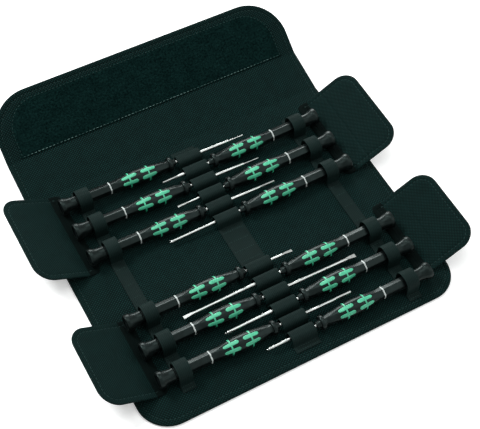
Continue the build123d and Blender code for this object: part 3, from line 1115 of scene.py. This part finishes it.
class DRIVER_POUCH_OT_handles(bpy.types.Operator):
    """Makes the twelve handles, each with its green grip zones and pale ring"""

    bl_idname = "driver_pouch.handles"
    bl_label = "Driver handles"

    def execute(self, context):
        body = drawn_profile(HANDLE_PROFILE)
        zones = grip_zones()
        ring = bmesh.new()
        add_ring(ring, 56.3, 0.5, 0.1, 0.3)
        hexed = ring.verts[:]
        for v in hexed:
            angle = atan2(v.co.z, v.co.y)
            grown = section_radius(1, 1, angle) / section_radius(1, 1, 0.0)
            v.co.y *= grown
            v.co.z *= grown
        for row in range(2 * ROWS_PER_HALF):
            number = f"{row + 1:02d}"
            rides = "driver_" + number
            handle = placed_copy(body, row, "handle_shell_" + number, "moulded_polyamide_black", radians(28))
            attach(handle, rides)
            stand_for(handle, "handle_black", "handle_" + number)
            turn = radians(60) if row_side(row) == RIGHT else 0.0
            grip = placed_copy(zones, row, "grip_zones_" + number, "soft_elastomer_green", radians(60), turn)
            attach(grip, rides)
            mark = placed_copy(ring, row, "pale_ring_" + number, "printed_pale_ink", radians(40))
            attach(mark, rides)
        for bm in (body, zones, ring):
            bm.free()
        return {"FINISHED"}


CAP_PROFILE = [
    (84.5, 2.05, 0), (84.5, 4.7, 0), (84.75, 5.0, 0), (85.4, 5.05, 0), (87.0, 4.95, 0),
    (89.0, 5.1, 0), (91.0, 5.5, 0), (92.6, 6.05, 0), (93.6, 6.45, 0), (94.2, 6.6, 0),
    (96.2, 6.6, 0), (96.75, 6.45, 0), (97.0, 6.1, 0), (97.0, 5.2, 0), (96.85, 4.7, 0),
    (96.4, 4.1, 0), (96.2, 3.2, 0), (96.15, 1.5, 0),
]


class DRIVER_POUCH_OT_caps(bpy.types.Operator):
    """Makes the twelve turning caps, waisted, flared and dished for a fingertip"""

    bl_idname = "driver_pouch.caps"
    bl_label = "Turning caps"

    def execute(self, context):
        shell = drawn_profile(CAP_PROFILE)
        for row in range(2 * ROWS_PER_HALF):
            number = f"{row + 1:02d}"
            piece = placed_copy(shell, row, "cap_shell_" + number, "acetal_cap_black", radians(40))
            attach(piece, "cap_" + number)
            stand_for(piece, "cap_black", "cap_" + number)
        shell.free()
        return {"FINISHED"}


class DRIVER_POUCH_OT_blades(bpy.types.Operator):
    """Gives the twelve blades their ground steel finish"""

    bl_idname = "driver_pouch.blades"
    bl_label = "Driver blades"

    def execute(self, context):
        for row in range(2 * ROWS_PER_HALF):
            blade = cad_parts[f"blade_{row + 1:02d}"]
            blade.data.materials.clear()
            blade.data.materials.append(bpy.data.materials["ground_nickel_plated_steel"])
        return {"FINISHED"}


# ---- materials and stage ----


class DRIVER_POUCH_OT_finishes(bpy.types.Operator):
    """Makes the materials that the pieces share"""

    bl_idname = "driver_pouch.finishes"
    bl_label = "Finishes"

    def execute(self, context):
        look = context.scene.driver_pouch_look
        cloth_material(look, "woven_oxford_cover", 1.6)
        cloth_material(look, "woven_oxford_flap", 1.2)
        thread_material(look)
        pile_material(look)
        hook_material(look)
        elastic_material(look)
        black_handle_material(look)
        green_grip_material(look)
        cap_material(look)
        mark_material(look)
        steel_material(look)
        # Painted shade at the flaps' hinges: a black, matt band with fine cross ribs, in place of the shade
        # between the caps and the flaps, so the hinge line reads as a dark band.
        tree, surface = new_material("painted_hinge_shade", Roughness=0.9, Specular_IOR_Level=0.05)
        ribs = bands(tree, uv(tree), 0.9, radians(90))
        tint(tree, surface, ribs, look.hinge_shade_dark, look.cloth_dark)
        bump(tree, surface, ribs, 0.1)
        # Pale thread for the stitches along the loop strip's lower edge at the fold only: paler than the
        # cloth, so these stitches show.
        tree, surface = new_material("pale_seam_thread", Roughness=0.6, Specular_IOR_Level=0.2)
        shade = speckle(tree, own(tree), 14, 2)
        tint(tree, surface, shade, look.thread, look.seam_pale, 0.4, 0.6)
        return {"FINISHED"}


class DRIVER_POUCH_OT_stage(bpy.types.Operator):
    """Sets the pale floor, the soft light and the camera"""

    bl_idname = "driver_pouch.stage"
    bl_label = "Stage"

    def execute(self, context):
        stage = context.scene.driver_pouch_stage
        scene = context.scene
        scene.view_settings.view_transform = "Standard"
        self.floor(stage)
        self.world(stage)
        for name, place, aim, size, power in (
            ("key", (-0.5, 0.7, 0.95), (0, 0.02, 0), 0.45, stage.key_power),
            ("fill", (0.75, -0.55, 0.9), (0, 0.02, 0), 1.1, stage.fill_power),
            ("top", (0.1, 0.15, 1.3), (0, 0.02, 0), 0.8, stage.top_power),
            ("rim", (0.33, 1.1, 0.3), (0, 0.02, 0), 0.6, stage.rim_power),
        ):
            lamp = bpy.data.lights.new(name, "AREA")
            lamp.shape = "DISK"
            lamp.size = size
            lamp.energy = power
            self.place(name, lamp, place, aim)
        camera = bpy.data.cameras.new("camera")
        camera.lens = stage.lens
        camera.sensor_width = 36.0
        camera.clip_start = 0.01
        scene.camera = self.place("camera", camera, stage.camera_place, stage.camera_aim, stage.camera_roll)
        return {"FINISHED"}

    def place(self, name, data, place, aim, roll=0.0):
        """Stands a lamp or the camera at a place, looking at its aim."""
        holder = bpy.data.objects.new(name, data)
        spot = Vector(place)
        turn = (Vector(aim) - spot).to_track_quat("-Z", "Y").to_matrix().to_4x4()
        holder.matrix_world = Matrix.Translation(spot) @ turn @ Matrix.Rotation(roll, 4, "Z")
        bpy.context.scene.collection.objects.link(holder)
        return holder

    def floor(self, stage):
        bm = bmesh.new()
        bmesh.ops.create_grid(bm, x_segments=1, y_segments=1, size=4000)
        bmesh.ops.translate(bm, vec=(0, 0, -0.2), verts=bm.verts)
        tree, surface = new_material("painted_pale_floor", Roughness=0.9)
        # Matt white board; shown a little brighter to the lens and in reflections, with its shadow kept.
        surface.inputs["Base Color"].default_value = linear(stage.floor_colour)
        path = add(tree, "LightPath")
        seen = math(tree, "MAXIMUM", path.outputs["Is Camera Ray"], path.outputs["Is Glossy Ray"])
        seen = math(tree, "MAXIMUM", seen, path.outputs["Is Transmission Ray"])
        glow = add(tree, "Emission", {"Strength": math(tree, "MULTIPLY", seen, stage.floor_glow)})
        both = add(tree, "AddShader", {0: surface.outputs[0], 1: glow.outputs[0]})
        tree.links.new(both.outputs[0], tree.nodes["Material Output"].inputs["Surface"])
        floor = to_object(bm, "floor", ["painted_pale_floor"], smooth_faces=False)

    def world(self, stage):
        world = bpy.data.worlds.new("studio")
        world.use_nodes = True
        bpy.context.scene.world = world
        tree = world.node_tree
        path = add(tree, "LightPath")
        seen = math(tree, "MAXIMUM", path.outputs["Is Camera Ray"], path.outputs["Is Glossy Ray"])
        strength = add(tree, "MapRange", {0: seen, 3: stage.world_light, 4: 1.0}).outputs[0]
        background = tree.nodes["Background"]
        background.inputs["Color"].default_value = (1, 1, 1, 1)
        tree.links.new(strength, background.inputs["Strength"])


# ---- settings, panel and registration ----


def colour(name, default):
    return bpy.props.StringProperty(name=name, description="sRGB hex colour", default=default)


def amount(name, description, default, **more):
    return bpy.props.FloatProperty(name=name, description=description, default=default, **more)


def place_setting(name, description, default):
    return bpy.props.FloatVectorProperty(name=name, description=description, default=default, subtype="XYZ")


class DriverPouchSizes(bpy.types.PropertyGroup):
    stitch_pitch: amount("Stitch pitch", "From one stitch to the next, in millimetres", 3.1, min=1.5)
    stitch_length: amount("Stitch length", "Length of one stitch, in millimetres", 2.3, min=1.0)
    thread_width: amount("Thread width", "Thickness of the sewing thread, in millimetres", 0.5, min=0.2)


class DriverPouchLook(bpy.types.PropertyGroup):
    cloth_dark: colour("Cloth, between yarns", "030D0C")
    cloth_light: colour("Cloth, yarn crowns", "123230")
    # Colour of the painted shade band at the flaps' hinges.
    hinge_shade_dark: colour("Painted hinge shade", "030807")
    thread: colour("Thread", "24403D")
    thread_dark: colour("Thread, shaded", "142624")
    seam_pale: colour("Loop strip's seam", "5C7A75")
    pile_dark: colour("Loop pile, deep", "020B0B")
    pile_light: colour("Loop pile, lint", "0E2624")
    elastic_dark: colour("Elastic, between ribs", "060F0E")
    elastic_light: colour("Elastic, ribs", "102321")
    handle_black: colour("Handle black", "070B0B")
    handle_worn: colour("Handle, rubbed", "151C1C")
    moulding_sheen: colour("Moulding, sheen", "BFE0DA")
    grip_dark: colour("Grip green, shaded", "2A9A74")
    grip_light: colour("Grip green", "41B48A")
    mark: colour("Printed ring", "B9C2BF")
    mark_worn: colour("Printed ring, worn", "7E8986")
    steel: colour("Blade steel", "BDC2BF")
    steel_dark: colour("Blade steel, grinding lines", "7E8381")


class DriverPouchStage(bpy.types.PropertyGroup):
    lens: amount("Lens", "Camera focal length, in millimetres", 87.204, unit="CAMERA")
    camera_place: place_setting("Camera place", "Where the camera stands", (-0.24693, -0.39945, 0.74))
    camera_aim: place_setting("Camera aim", "Where the camera looks", (0.01241, 0.02588, 0.0))
    camera_roll: amount("Camera roll", "Turn about the line of sight", radians(3.047), subtype="ANGLE")
    key_power: amount("Key power", "Power of the key lamp", 13.0, unit="POWER")
    fill_power: amount("Fill power", "Power of the fill lamp", 4.0, unit="POWER")
    top_power: amount("Top power", "Power of the top lamp", 5.0, unit="POWER")
    rim_power: amount("Rim power", "Power of the rim lamp", 10.0, unit="POWER")
    world_light: amount("Surrounding light", "Strength of the light from all round", 0.35, min=0.0)
    floor_colour: colour("Floor", "F2F4F3")
    floor_glow: amount("Floor lift", "How much brighter the lens sees the floor", 0.35, min=0.0)


PIECES = (
    DRIVER_POUCH_OT_finishes,
    DRIVER_POUCH_OT_covers,
    DRIVER_POUCH_OT_closure,
    DRIVER_POUCH_OT_flaps,
    DRIVER_POUCH_OT_straps,
    DRIVER_POUCH_OT_handles,
    DRIVER_POUCH_OT_caps,
    DRIVER_POUCH_OT_blades,
    DRIVER_POUCH_OT_stage,
)


class DRIVER_POUCH_PT_panel(bpy.types.Panel):
    """Lists the pieces of the driver pouch"""

    bl_idname = "DRIVER_POUCH_PT_panel"
    bl_label = "Driver pouch"
    bl_space_type = "VIEW_3D"
    bl_region_type = "UI"
    bl_category = "Driver pouch"

    def draw(self, context):
        for operator in PIECES:
            self.layout.operator(operator.bl_idname)


GROUPS_OF_SETTINGS = (
    ("driver_pouch_sizes", DriverPouchSizes),
    ("driver_pouch_look", DriverPouchLook),
    ("driver_pouch_stage", DriverPouchStage),
)


def register():
    for name, group in GROUPS_OF_SETTINGS:
        bpy.utils.register_class(group)
        setattr(bpy.types.Scene, name, bpy.props.PointerProperty(type=group))
    for item in PIECES + (DRIVER_POUCH_PT_panel,):
        bpy.utils.register_class(item)


def unregister():
    for item in reversed(PIECES + (DRIVER_POUCH_PT_panel,)):
        bpy.utils.unregister_class(item)
    for name, group in reversed(GROUPS_OF_SETTINGS):
        delattr(bpy.types.Scene, name)
        bpy.utils.unregister_class(group)


def main():
    register()
    for operator in PIECES:
        getattr(bpy.ops.driver_pouch, operator.bl_idname.split(".")[1])()


if __name__ == "__main__":
    main()
